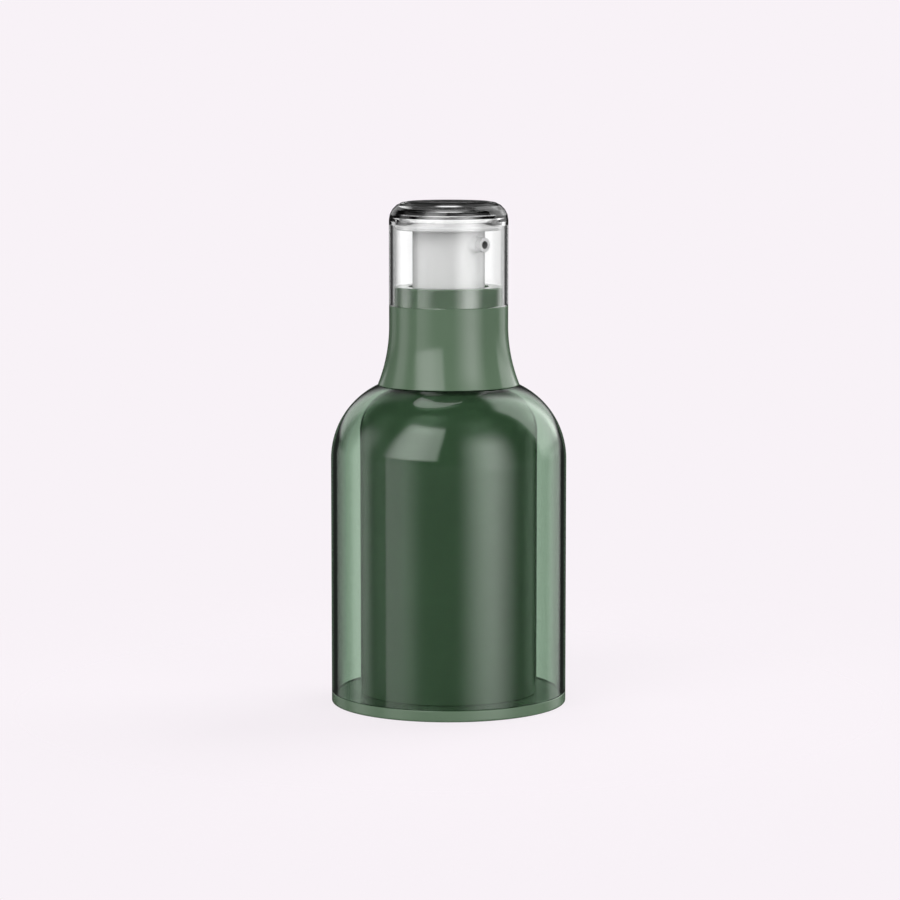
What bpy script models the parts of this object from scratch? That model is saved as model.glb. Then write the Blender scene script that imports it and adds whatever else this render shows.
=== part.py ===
"""Airless pump bottle: clear overcap, push button, flared collar, tinted shell over an inner bottle.

The bottle stands on z = 0. Every turned piece shares the upright axis through the origin, so
its outline is a list of (radius, height) points in the bottle's own frame. Heights are worked
out from the base upwards, and radii from the body inwards, from the neck outwards and from the
pump barrel's bore outwards.
"""
import math

import bmesh
import bpy

MM = 0.001

# Clearances
GAP = 0.3 * MM             # pieces that touch on the real bottle
SLIP = 0.15 * MM           # small pieces of the pump
OVERRUN = 0.5 * MM         # how far a cutter or a joined piece runs past a face

# Base
BASE_RIM_H = 2.3 * MM
BASE_RECESS = 0.8 * MM
BASE_FOOT_W = 3.0 * MM
BASE_EDGE_R = 0.4 * MM
PLUG_H = 3.0 * MM
PLUG_WALL = 1.2 * MM
VENT_R = 3.2 * MM          # lets air in under the follower, and a pen to prime the pump

# Body: shell and inner bottle
BODY_R = 24.2 * MM
SHELL_WALL = 1.2 * MM
SHELL_SHOULDER_R = 16.8 * MM
AIR_SPACE = 4.8 * MM       # between the shell and the inner bottle, at the side
SHOULDER_AIR = 0.9 * MM    # the same, over the shoulder
BOTTLE_WALL = 1.2 * MM
BOTTLE_STRAIGHT_H = 53.6 * MM
BOTTLE_SHOULDER_R = 9.0 * MM
LEDGE_W = 1.6 * MM         # ledge on the neck that carries the shell

# Neck and its bead
NECK_R = 9.4 * MM
NECK_WALL = 1.4 * MM
NECK_PROUD = 8.7 * MM      # neck above the top of the shell
BEAD_DROP = 2.0 * MM
BEAD_H = 1.5 * MM
BEAD_PROUD = 0.35 * MM

# Snap ferrule and gasket
FERRULE_WALL = 0.6 * MM
FERRULE_LIP_H = 1.2 * MM
FERRULE_WEB = 1.2 * MM
GASKET_H = 0.7 * MM

# Collar
COLLAR_WALL = 1.25 * MM
FLARE_OUT = 2.4 * MM
COLLAR_STRAIGHT_H = 4.1 * MM
SEAT_H = 2.0 * MM          # thickness under the ledge where the overcap stands
RING_WALL = 1.4 * MM
RING_LIP_H = 1.2 * MM
RING_EDGE_R = 0.3 * MM

# Overcap
CAP_WALL = 0.8 * MM
CAP_TOP_WALL = 2.3 * MM
CAP_CORNER_R = 3.8 * MM
CEILING_CORNER_R = 2.4 * MM
CAP_HEADROOM = 0.7 * MM

# Actuator
HEAD_GAP = 0.4 * MM        # between the head's edge and the overcap
HEAD_EDGE_H = 0.7 * MM
HEAD_EDGE_R = 0.3 * MM
HEAD_RISE = 2.0 * MM
SKIRT_GAP = 0.8 * MM       # dark ring seen round the skirt
SKIRT_WALL = 1.0 * MM
SKIRT_H = 12.8 * MM
SKIRT_ENTRY = 1.2 * MM     # how far the skirt reaches into the ring at rest
ROOF_RISE = 0.6 * MM
HUB_WALL = 1.05 * MM
RIB_WIDTH = 1.2 * MM
SOCKET_ROOF = 0.8 * MM

# Nozzle
NOZZLE_TURN = math.radians(-45.0)
NOZZLE_DROP = 2.8 * MM     # nozzle axis below the head
NOZZLE_INSET = 0.8 * MM    # spout face behind the head's edge
NOZZLE_TIP_R = 1.5 * MM
NOZZLE_TIP_L = 1.1 * MM
BOSS_ROOT_R = 1.8 * MM
PASSAGE_R = 1.0 * MM
PASSAGE_WALL = 0.9 * MM
NOZZLE_PLUG_L = 2.4 * MM
ORIFICE_R = 0.3 * MM
MOUTH_R = 0.78 * MM
MOUTH_DEPTH = 0.6 * MM
NOZZLE_EDGE = 0.2 * MM

# Pump
STROKE = 4.5 * MM
LOST_MOTION = 0.9 * MM     # stem travel before it takes the piston along
STOP_GAP = 0.5 * MM        # left under the skirt at the end of the stroke
FLANGE_H = 1.0 * MM
BARREL_IN_R = 5.1 * MM
BARREL_WALL = 1.0 * MM
BARREL_PROUD = 0.4 * MM    # barrel above the ferrule
GUIDE_FLANGE_H = 0.8 * MM
GUIDE_PLUG_H = 2.2 * MM
GUIDE_PLUG_WALL = 0.9 * MM
STEM_R = 1.8 * MM
STEM_BORE_R = 0.9 * MM
STEM_SHOULDER_W = 1.0 * MM
STEM_SHOULDER_H = 0.9 * MM
STEM_FOOT_GAP = 1.5 * MM   # between the stem's foot and the valve head
PISTON_H = 4.5 * MM
PISTON_LIP_H = 0.9 * MM
PISTON_WAIST = 0.5 * MM
VALVE_HEAD_H = 1.2 * MM
VALVE_HEAD_GAP = 1.6 * MM  # between the valve head and the barrel
ROD_BLADE = 0.5 * MM
ROD_REACH = 5.0 * MM
BALL_R = 1.6 * MM
BALL_LIFT = 0.9 * MM
BALL_ROOM = 0.6 * MM       # round the ball, in its chamber
NIB_H = 0.6 * MM
NIB_REACH = 1.1 * MM
NIB_WIDTH = 0.8 * MM
INLET_R = 1.1 * MM
INLET_H = 1.1 * MM

# Return spring
WIRE_R = 0.3 * MM
SPRING_ROOM = 0.45 * MM    # between the spring and the hub

# Follower piston
FOLLOWER_SKIRT_H = 8.0 * MM
FOLLOWER_WALL = 1.2 * MM
FOLLOWER_LIP_H = 1.2 * MM
FOLLOWER_WAIST = 0.8 * MM
CROWN_GAP = 0.5 * MM       # left to the bottle's shoulder at the end of its travel
WELL_GAP = 1.0 * MM        # round the pump barrel

# Counts
BODY_SIDES = 40
PUMP_SIDES = 28
SMALL_SIDES = 20
SHOULDER_STEPS = 7
CORNER_STEPS = 5
EDGE_STEPS = 2
SPRING_TURNS = 6
SPRING_STEPS = 9           # points in one turn of the spring
BALL_RINGS = 10
NIB_COUNT = 3
MERGE = 0.0001 * MM

# Radii of the body, from the outside inwards
SHELL_IN_R = BODY_R - SHELL_WALL
BOTTLE_R = SHELL_IN_R - AIR_SPACE
BOTTLE_IN_R = BOTTLE_R - BOTTLE_WALL
PLUG_R = BOTTLE_IN_R - GAP
SHELL_ARC_R = BODY_R - SHELL_SHOULDER_R
BOTTLE_ARC_R = BOTTLE_R - BOTTLE_SHOULDER_R

# Radii of the closure, from the neck outwards
NECK_IN_R = NECK_R - NECK_WALL
LEDGE_R = NECK_R + LEDGE_W
FERRULE_IN_R = NECK_R + BEAD_PROUD + GAP
FERRULE_R = FERRULE_IN_R + FERRULE_WALL
COLLAR_IN_R = FERRULE_R + GAP
COLLAR_R = COLLAR_IN_R + COLLAR_WALL
COLLAR_FOOT_R = COLLAR_R + FLARE_OUT
CAP_R = COLLAR_R
CAP_IN_R = CAP_R - CAP_WALL
RING_R = CAP_IN_R - GAP
RING_IN_R = RING_R - RING_WALL
HEAD_R = CAP_IN_R - HEAD_GAP
NOZZLE_REACH = HEAD_R - NOZZLE_INSET

# Radii of the pump and of the skirt round it, from the barrel's bore outwards
BARREL_R = BARREL_IN_R + BARREL_WALL
SKIRT_IN_R = BARREL_R + GAP
SKIRT_R = SKIRT_IN_R + SKIRT_WALL
RING_HOLE_R = SKIRT_R + SKIRT_GAP
STEM_FIT_R = STEM_R + SLIP
HUB_R = STEM_FIT_R + HUB_WALL
SPRING_R = HUB_R + SPRING_ROOM + WIRE_R
CHAMBER_R = BALL_R + BALL_ROOM
WELL_R = BARREL_R + WELL_GAP

# Heights of the body
BOTTLE_FOOT_Z = BASE_RIM_H + GAP
BOTTLE_ARC_Z = BOTTLE_FOOT_Z + BOTTLE_STRAIGHT_H
SHELL_TOP_Z = BOTTLE_ARC_Z + BOTTLE_SHOULDER_R + SHOULDER_AIR + SHELL_WALL
SHELL_ARC_Z = SHELL_TOP_Z - SHELL_SHOULDER_R
NECK_TOP_Z = SHELL_TOP_Z + NECK_PROUD

# Heights of the closure
GASKET_Z = NECK_TOP_Z + GAP
FLANGE_Z = GASKET_Z + GASKET_H + GAP
FLANGE_TOP_Z = FLANGE_Z + FLANGE_H
FERRULE_WEB_Z = FLANGE_TOP_Z + GAP
FERRULE_TOP_Z = FERRULE_WEB_Z + FERRULE_WEB
COLLAR_WEB_Z = FERRULE_TOP_Z + GAP
SEAT_Z = COLLAR_WEB_Z + SEAT_H
RING_TOP_Z = FERRULE_TOP_Z + STOP_GAP + STROKE + SKIRT_ENTRY

# Heights of the actuator and the overcap
SKIRT_Z = RING_TOP_Z - SKIRT_ENTRY
HEAD_Z = SKIRT_Z + SKIRT_H
HEAD_TOP_Z = HEAD_Z + HEAD_EDGE_H + HEAD_RISE
NOZZLE_Z = HEAD_Z - NOZZLE_DROP
RIB_Z = NOZZLE_Z - PASSAGE_R - PASSAGE_WALL
SOCKET_TOP_Z = NOZZLE_Z - PASSAGE_R - SOCKET_ROOF
CEILING_Z = HEAD_TOP_Z + CAP_HEADROOM
CAP_TOP_Z = CEILING_Z + CAP_TOP_WALL

# Heights of the pump, from its top downwards
BARREL_TOP_Z = FERRULE_TOP_Z + BARREL_PROUD
GUIDE_TOP_Z = BARREL_TOP_Z + GAP + GUIDE_FLANGE_H
GUIDE_PLUG_Z = BARREL_TOP_Z - GUIDE_PLUG_H
HUB_Z = GUIDE_TOP_Z + STROKE + GAP
STEM_TOP_Z = SOCKET_TOP_Z - SLIP
STEM_SHOULDER_Z = GUIDE_PLUG_Z - GAP - STEM_SHOULDER_H
PISTON_TOP_Z = STEM_SHOULDER_Z - LOST_MOTION - GAP
PISTON_Z = PISTON_TOP_Z - PISTON_H
VALVE_TOP_Z = PISTON_Z - GAP
VALVE_Z = VALVE_TOP_Z - VALVE_HEAD_H
STEM_FOOT_Z = VALVE_TOP_Z + STEM_FOOT_GAP
BARREL_FLOOR_Z = VALVE_Z - STROKE - STOP_GAP
BALL_Z = BARREL_FLOOR_Z - NIB_H - GAP - BALL_R - BALL_LIFT
BALL_SEAT_DROP = math.sqrt((BALL_R + SLIP) ** 2 - INLET_R ** 2)
BALL_SEAT_Z = BALL_Z - BALL_SEAT_DROP
INLET_Z = BALL_SEAT_Z - INLET_H

# Heights of the follower piston at rest, with the bottle full
FOLLOWER_Z = BASE_RIM_H + PLUG_H + GAP
CROWN_Z = FOLLOWER_Z + FOLLOWER_SKIRT_H
FOLLOWER_TRAVEL = BOTTLE_ARC_Z - GAP - CROWN_Z
CROWN_R = BOTTLE_SHOULDER_R - BOTTLE_WALL - CROWN_GAP
WELL_FLOOR_Z = INLET_Z - FOLLOWER_TRAVEL - CROWN_GAP


def material(name, colour, roughness, metallic=0.0, transmission=0.0):
    """A Principled material of one colour."""
    made = bpy.data.materials.new(name)
    made.use_nodes = True
    shader = made.node_tree.nodes["Principled BSDF"]
    shader.inputs["Base Color"].default_value = (*colour, 1.0)
    shader.inputs["Roughness"].default_value = roughness
    shader.inputs["Metallic"].default_value = metallic
    shader.inputs["Transmission Weight"].default_value = transmission
    made.diffuse_color = (*colour, 1.0)
    return made


def arc(centre_r, centre_z, radius, start, end, steps):
    """Points of an arc, with its angles in degrees from the outward direction."""
    angles = [math.radians(start + (end - start) * i / steps) for i in range(steps + 1)]
    return [(centre_r + radius * math.cos(a), centre_z + radius * math.sin(a)) for a in angles]


def arc_height(radius_at, centre_r, centre_z, radius):
    """Height of a shoulder's arc at a radius, flat inside the arc's centre."""
    across = max(radius_at - centre_r, 0.0)
    return centre_z + math.sqrt(max(radius ** 2 - across ** 2, 0.0))


def shoulder(centre_r, centre_z, radius, inner_r):
    """A shoulder's arc from the straight side up and in to the inner radius."""
    across = max(inner_r - centre_r, 0.0)
    end = math.degrees(math.acos(min(across / radius, 1.0)))
    points = arc(centre_r, centre_z, radius, 0.0, end, SHOULDER_STEPS)
    if inner_r < centre_r:
        points.append((inner_r, centre_z + radius))
    return points


def flare(foot_r, foot_z, top_r, top_z):
    """A hollow flare that starts upright at its top and swings out to its foot."""
    height = top_z - foot_z
    width = foot_r - top_r
    radius = (height ** 2 + width ** 2) / (2.0 * width)
    sweep = math.degrees(math.asin(height / radius))
    return arc(top_r + radius, top_z, radius, 180.0 + sweep, 180.0, SHOULDER_STEPS)


def finish(mesh, paint):
    """Shade a mesh smooth with its real edges kept, and paint it."""
    mesh.shade_smooth()
    mesh.set_sharp_from_angle(angle=math.radians(35.0))
    mesh.materials.append(paint)


def place(name, data, height=0.0):
    """Link an object on the axis at a height."""
    made = bpy.data.objects.new(name, data)
    made.location.z = height
    bpy.context.collection.objects.link(made)
    return made


def turned(name, outline, sides, paint, height=0.0):
    """Spin an outline round the axis. The object's origin is on the axis at the given height."""
    bm = bmesh.new()
    ring = [bm.verts.new((r, 0.0, z - height)) for r, z in outline]
    ends_on_axis = outline[0][0] == 0.0 and outline[-1][0] == 0.0
    followers = ring[1:] if ends_on_axis else ring[1:] + ring[:1]
    edges = [bm.edges.new(pair) for pair in zip(ring, followers)]
    bmesh.ops.spin(bm, geom=ring + edges, cent=(0.0, 0.0, 0.0), axis=(0.0, 0.0, 1.0),
                   angle=math.tau, steps=sides, use_merge=True)
    bmesh.ops.remove_doubles(bm, verts=bm.verts, dist=MERGE)
    bmesh.ops.recalc_face_normals(bm, faces=bm.faces)
    mesh = bpy.data.meshes.new(name)
    bm.to_mesh(mesh)
    bm.free()
    finish(mesh, paint)
    return place(name, mesh, height)


def rod(name, radius, length, sides, paint, height=0.0, end_radius=None):
    """A round bar or cone that stands up from its origin."""
    bm = bmesh.new()
    bmesh.ops.create_cone(bm, cap_ends=True, segments=sides, radius1=radius,
                          radius2=radius if end_radius is None else end_radius, depth=length)
    bmesh.ops.translate(bm, verts=bm.verts, vec=(0.0, 0.0, length / 2.0))
    mesh = bpy.data.meshes.new(name)
    bm.to_mesh(mesh)
    bm.free()
    finish(mesh, paint)
    return place(name, mesh, height)


def block(name, size_x, size_y, size_z, paint, height=0.0):
    """A box centred on the axis that stands up from the given height."""
    bm = bmesh.new()
    bmesh.ops.create_cube(bm, size=1.0)
    bmesh.ops.scale(bm, verts=bm.verts, vec=(size_x, size_y, size_z))
    bmesh.ops.translate(bm, verts=bm.verts, vec=(0.0, 0.0, size_z / 2.0))
    mesh = bpy.data.meshes.new(name)
    bm.to_mesh(mesh)
    bm.free()
    finish(mesh, paint)
    return place(name, mesh, height)


def shape_with(target, tool, operation):
    """Join or cut a piece with a helper solid, which stays hidden."""
    step = target.modifiers.new(tool.name, "BOOLEAN")
    step.operation = operation
    step.solver = "EXACT"
    step.object = tool
    tool.hide_render = True
    tool.display_type = "WIRE"


def lay_along_nozzle(piece, reach):
    """Turn an upright piece to lie along the nozzle, with its foot at a distance from the axis."""
    piece.rotation_euler = (0.0, math.pi / 2.0, NOZZLE_TURN)
    piece.location.x = reach * math.cos(NOZZLE_TURN)
    piece.location.y = reach * math.sin(NOZZLE_TURN)


def carry(child, parent):
    """Parent a piece and keep it where it stands."""
    child.parent = parent
    child.location.z -= parent.location.z


def make_base(paint):
    """Closure disc: rim under the shell, plug inside the inner bottle, recess and foot below."""
    foot_in_r = BODY_R - BASE_FOOT_W
    edge = arc(BODY_R - BASE_EDGE_R, BASE_EDGE_R, BASE_EDGE_R, -90.0, 0.0, EDGE_STEPS)
    outline = [
        (VENT_R, BASE_RECESS),
        (foot_in_r, BASE_RECESS),
        (foot_in_r, 0.0),
        *edge,
        (BODY_R, BASE_RIM_H),
        (PLUG_R, BASE_RIM_H),
        (PLUG_R, BASE_RIM_H + PLUG_H),
        (PLUG_R - PLUG_WALL, BASE_RIM_H + PLUG_H),
        (PLUG_R - PLUG_WALL, BASE_RIM_H),
        (VENT_R, BASE_RIM_H),
    ]
    return turned("base", outline, BODY_SIDES, paint)


def make_inner_bottle(paint):
    """Open-ended bottle with a domed shoulder, a ledge for the shell and a beaded neck."""
    ledge_z = arc_height(LEDGE_R, SHELL_ARC_R, SHELL_ARC_Z, SHELL_SHOULDER_R - SHELL_WALL) - GAP
    bead_r = NECK_R + BEAD_PROUD
    bead_top_z = NECK_TOP_Z - BEAD_DROP
    inside = shoulder(BOTTLE_ARC_R, BOTTLE_ARC_Z, BOTTLE_SHOULDER_R - BOTTLE_WALL, NECK_IN_R)
    outline = [
        (BOTTLE_R, BOTTLE_FOOT_Z),
        *shoulder(BOTTLE_ARC_R, BOTTLE_ARC_Z, BOTTLE_SHOULDER_R, LEDGE_R),
        (LEDGE_R, ledge_z),
        (NECK_R, ledge_z),
        (NECK_R, bead_top_z - BEAD_H),
        (bead_r, bead_top_z - BEAD_H + BEAD_PROUD),
        (bead_r, bead_top_z - BEAD_PROUD),
        (NECK_R, bead_top_z),
        (NECK_R, NECK_TOP_Z),
        (NECK_IN_R, NECK_TOP_Z),
        *reversed(inside),
        (BOTTLE_IN_R, BOTTLE_FOOT_Z),
    ]
    return turned("inner_bottle", outline, BODY_SIDES, paint, BOTTLE_FOOT_Z)


def make_outer_shell(paint):
    """See-through shell that stands on the base rim and closes round the neck."""
    hole_r = NECK_R + GAP
    inside = shoulder(SHELL_ARC_R, SHELL_ARC_Z, SHELL_SHOULDER_R - SHELL_WALL, hole_r)
    outline = [
        (BODY_R, BOTTLE_FOOT_Z),
        *shoulder(SHELL_ARC_R, SHELL_ARC_Z, SHELL_SHOULDER_R, hole_r),
        *reversed(inside),
        (SHELL_IN_R, BOTTLE_FOOT_Z),
    ]
    return turned("outer_shell", outline, BODY_SIDES, paint, BOTTLE_FOOT_Z)


def make_follower_piston(paint):
    """Piston with two wiper lips. Its crown matches the shoulder and its well takes the pump."""
    lip_r = BOTTLE_IN_R - GAP
    waist_r = lip_r - FOLLOWER_WAIST
    in_r = waist_r - FOLLOWER_WALL
    under_r = CROWN_R - FOLLOWER_WALL
    crown = shoulder(BOTTLE_ARC_R, CROWN_Z, CROWN_R, WELL_R)
    under = shoulder(BOTTLE_ARC_R, CROWN_Z, under_r, WELL_R + FOLLOWER_WALL)
    outline = [
        (0.0, WELL_FLOOR_Z),
        (WELL_R, WELL_FLOOR_Z),
        *reversed(crown),
        (lip_r, CROWN_Z),
        (lip_r, CROWN_Z - FOLLOWER_LIP_H),
        (waist_r, CROWN_Z - FOLLOWER_LIP_H - FOLLOWER_WAIST),
        (waist_r, FOLLOWER_Z + FOLLOWER_LIP_H + FOLLOWER_WAIST),
        (lip_r, FOLLOWER_Z + FOLLOWER_LIP_H),
        (lip_r, FOLLOWER_Z),
        (in_r, FOLLOWER_Z),
        *under,
        (WELL_R + FOLLOWER_WALL, WELL_FLOOR_Z - FOLLOWER_WALL),
        (0.0, WELL_FLOOR_Z - FOLLOWER_WALL),
    ]
    return turned("follower_piston", outline, BODY_SIDES, paint, FOLLOWER_Z)


def make_snap_ferrule(paint):
    """Carrier ring: its lip snaps under the neck bead and its web holds the pump down."""
    lip_top_z = NECK_TOP_Z - BEAD_DROP - BEAD_H - GAP
    lip_z = lip_top_z - FERRULE_LIP_H
    outline = [
        (NECK_R + GAP, lip_z),
        (FERRULE_R, lip_z),
        (FERRULE_R, FERRULE_TOP_Z),
        (BARREL_R + GAP, FERRULE_TOP_Z),
        (BARREL_R + GAP, FERRULE_WEB_Z),
        (FERRULE_IN_R, FERRULE_WEB_Z),
        (FERRULE_IN_R, lip_top_z),
        (NECK_R + GAP, lip_top_z),
    ]
    return turned("snap_ferrule", outline, BODY_SIDES, paint, lip_z)


def make_neck_gasket(paint):
    """Flat seal between the neck and the pump's flange."""
    in_r = BARREL_R + GAP
    outline = [
        (in_r, GASKET_Z),
        (NECK_R, GASKET_Z),
        (NECK_R, GASKET_Z + GASKET_H),
        (in_r, GASKET_Z + GASKET_H),
    ]
    return turned("neck_gasket", outline, PUMP_SIDES, paint, GASKET_Z)


def make_collar(paint):
    """Flared shoulder ring with the ledge and the ring that take the overcap."""
    over_shell = SHELL_SHOULDER_R + GAP
    foot_in_r = COLLAR_FOOT_R - COLLAR_WALL
    foot_z = arc_height(COLLAR_FOOT_R, SHELL_ARC_R, SHELL_ARC_Z, over_shell)
    foot_in_z = arc_height(foot_in_r, SHELL_ARC_R, SHELL_ARC_Z, over_shell)
    flare_top_z = SEAT_Z - COLLAR_STRAIGHT_H
    edge_z = RING_TOP_Z - RING_EDGE_R
    outline = [
        *flare(COLLAR_FOOT_R, foot_z, COLLAR_R, flare_top_z),
        (COLLAR_R, SEAT_Z),
        (RING_R, SEAT_Z),
        *arc(RING_R - RING_EDGE_R, edge_z, RING_EDGE_R, 0.0, 90.0, EDGE_STEPS),
        (RING_HOLE_R, RING_TOP_Z),
        (RING_HOLE_R, RING_TOP_Z - RING_LIP_H),
        (RING_IN_R, RING_TOP_Z - RING_LIP_H),
        (RING_IN_R, COLLAR_WEB_Z),
        (COLLAR_IN_R, COLLAR_WEB_Z),
        *reversed(flare(foot_in_r, foot_in_z, COLLAR_IN_R, flare_top_z)),
    ]
    return turned("collar", outline, BODY_SIDES, paint, foot_z)


def make_overcap(paint):
    """Clear cap with a thick top and rounded corners."""
    foot_z = SEAT_Z + GAP
    corner_r = CAP_R - CAP_CORNER_R
    corner_z = CAP_TOP_Z - CAP_CORNER_R
    inner_corner_r = CAP_IN_R - CEILING_CORNER_R
    inner_corner_z = CEILING_Z - CEILING_CORNER_R
    outline = [
        (0.0, CEILING_Z),
        *arc(inner_corner_r, inner_corner_z, CEILING_CORNER_R, 90.0, 0.0, CORNER_STEPS),
        (CAP_IN_R, foot_z),
        (CAP_R, foot_z),
        *arc(corner_r, corner_z, CAP_CORNER_R, 0.0, 90.0, CORNER_STEPS),
        (0.0, CAP_TOP_Z),
    ]
    return turned("overcap", outline, BODY_SIDES, paint, foot_z)


def make_pump_housing(paint):
    """Pump barrel: flange, dosing chamber, ball chamber with its nibs, and inlet."""
    chamber_out_r = CHAMBER_R + BARREL_WALL
    floor_under_z = BARREL_FLOOR_Z - BARREL_WALL
    outline = [
        (INLET_R, INLET_Z),
        (chamber_out_r, INLET_Z),
        (chamber_out_r, floor_under_z),
        (BARREL_R, floor_under_z),
        (BARREL_R, FLANGE_Z),
        (NECK_R, FLANGE_Z),
        (NECK_R, FLANGE_TOP_Z),
        (BARREL_R, FLANGE_TOP_Z),
        (BARREL_R, BARREL_TOP_Z),
        (BARREL_IN_R, BARREL_TOP_Z),
        (BARREL_IN_R, BARREL_FLOOR_Z),
        (CHAMBER_R, BARREL_FLOOR_Z),
        (CHAMBER_R, BALL_SEAT_Z),
        (INLET_R, BALL_SEAT_Z),
    ]
    housing = turned("pump_housing", outline, PUMP_SIDES, paint, INLET_Z)
    reach = CHAMBER_R - NIB_REACH
    for i in range(NIB_COUNT):
        angle = math.tau * i / NIB_COUNT
        nib = block("nib_tool_%d" % i, NIB_REACH + OVERRUN, NIB_WIDTH, NIB_H, paint,
                    BARREL_FLOOR_Z - NIB_H)
        middle = reach + (NIB_REACH + OVERRUN) / 2.0
        nib.location.x = middle * math.cos(angle)
        nib.location.y = middle * math.sin(angle)
        nib.rotation_euler.z = angle
        shape_with(housing, nib, "UNION")
    return housing


def make_housing_cap(paint):
    """Stem guide: a flange on the barrel, a plug in it, and a sleeve round the stem."""
    plug_r = BARREL_IN_R - SLIP
    flange_z = BARREL_TOP_Z + GAP
    outline = [
        (STEM_FIT_R, GUIDE_PLUG_Z),
        (plug_r, GUIDE_PLUG_Z),
        (plug_r, flange_z),
        (BARREL_R, flange_z),
        (BARREL_R, GUIDE_TOP_Z),
        (STEM_FIT_R, GUIDE_TOP_Z),
    ]
    guide = turned("housing_cap", outline, PUMP_SIDES, paint, flange_z)
    groove_out_r = plug_r - GUIDE_PLUG_WALL
    groove_in_r = STEM_FIT_R + GUIDE_PLUG_WALL
    if groove_out_r - groove_in_r > SLIP:
        groove = [
            (groove_in_r, GUIDE_TOP_Z - GUIDE_FLANGE_H),
            (groove_out_r, GUIDE_TOP_Z - GUIDE_FLANGE_H),
            (groove_out_r, GUIDE_PLUG_Z - OVERRUN),
            (groove_in_r, GUIDE_PLUG_Z - OVERRUN),
        ]
        tool = turned("groove_tool", groove, PUMP_SIDES, paint, GUIDE_PLUG_Z)
        shape_with(guide, tool, "DIFFERENCE")
    return guide


def make_pump_stem(paint):
    """Hollow stem with the shoulder that stops it at the top and drives the piston."""
    shoulder_r = STEM_R + STEM_SHOULDER_W
    shoulder_top_z = STEM_SHOULDER_Z + STEM_SHOULDER_H
    outline = [
        (STEM_BORE_R, STEM_FOOT_Z),
        (STEM_R, STEM_FOOT_Z),
        (STEM_R, STEM_SHOULDER_Z),
        (shoulder_r, STEM_SHOULDER_Z),
        (shoulder_r, shoulder_top_z),
        (STEM_R, shoulder_top_z),
        (STEM_R, STEM_TOP_Z),
        (STEM_BORE_R, STEM_TOP_Z),
    ]
    return turned("pump_stem", outline, SMALL_SIDES, paint, STEM_FOOT_Z)


def make_piston_rod(paint):
    """Valve head with a cross-shaped rod, which leaves four channels up the stem's bore."""
    head_r = BARREL_IN_R - VALVE_HEAD_GAP
    head_foot_r = head_r - VALVE_HEAD_H / 2.0
    outline = [
        (0.0, VALVE_TOP_Z),
        (head_r, VALVE_TOP_Z),
        (head_r, VALVE_TOP_Z - VALVE_HEAD_H / 2.0),
        (head_foot_r, VALVE_Z),
        (0.0, VALVE_Z),
    ]
    head = turned("piston_rod", outline, SMALL_SIDES, paint, VALVE_Z)
    across = 2.0 * math.sqrt((STEM_BORE_R - SLIP) ** 2 - (ROD_BLADE / 2.0) ** 2)
    foot_z = VALVE_TOP_Z - VALVE_HEAD_H / 2.0
    length = ROD_REACH + STEM_FOOT_GAP
    for name, wide, deep in (("blade_tool_x", across, ROD_BLADE), ("blade_tool_y", ROD_BLADE, across)):
        blade = block(name, wide, deep, length, paint, foot_z)
        shape_with(head, blade, "UNION")
    return head


def make_dosing_piston(paint):
    """Ring piston with a wiper lip at each end."""
    lip_r = BARREL_IN_R - SLIP
    waist_r = lip_r - PISTON_WAIST
    outline = [
        (STEM_FIT_R, PISTON_Z),
        (lip_r, PISTON_Z),
        (lip_r, PISTON_Z + PISTON_LIP_H),
        (waist_r, PISTON_Z + PISTON_LIP_H + PISTON_WAIST),
        (waist_r, PISTON_TOP_Z - PISTON_LIP_H - PISTON_WAIST),
        (lip_r, PISTON_TOP_Z - PISTON_LIP_H),
        (lip_r, PISTON_TOP_Z),
        (STEM_FIT_R, PISTON_TOP_Z),
    ]
    return turned("dosing_piston", outline, PUMP_SIDES, paint, PISTON_Z)


def make_inlet_ball(paint):
    """Ball of the inlet valve, resting on the inlet's edge."""
    bm = bmesh.new()
    bmesh.ops.create_uvsphere(bm, u_segments=SMALL_SIDES, v_segments=BALL_RINGS, radius=BALL_R)
    mesh = bpy.data.meshes.new("inlet_ball")
    bm.to_mesh(mesh)
    bm.free()
    finish(mesh, paint)
    return place("inlet_ball", mesh, BALL_Z)


def make_return_spring(paint):
    """Helix of SPRING_TURNS turns from the stem guide up to the actuator's ribs."""
    low = GUIDE_TOP_Z + GAP + WIRE_R
    high = RIB_Z - GAP - WIRE_R
    count = SPRING_TURNS * SPRING_STEPS
    points = []
    for i in range(count + 1):
        angle = math.tau * i / SPRING_STEPS
        points.append((SPRING_R * math.cos(angle), SPRING_R * math.sin(angle),
                       (high - low) * i / count))
    nearest = min(math.dist(points[i], points[j])
                  for i in range(count + 1)
                  for j in range(i + SPRING_STEPS // 2, count + 1))
    print("return_spring: least gap between turns %.2f mm" % ((nearest - 2.0 * WIRE_R) / MM))
    curve = bpy.data.curves.new("return_spring", "CURVE")
    curve.dimensions = "3D"
    curve.bevel_depth = WIRE_R
    curve.bevel_resolution = 1
    curve.use_fill_caps = True
    wire = curve.splines.new("POLY")
    wire.points.add(count)
    for point, place_at in zip(wire.points, points):
        point.co = (*place_at, 1.0)
    curve.materials.append(paint)
    return place("return_spring", curve, low)


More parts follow.
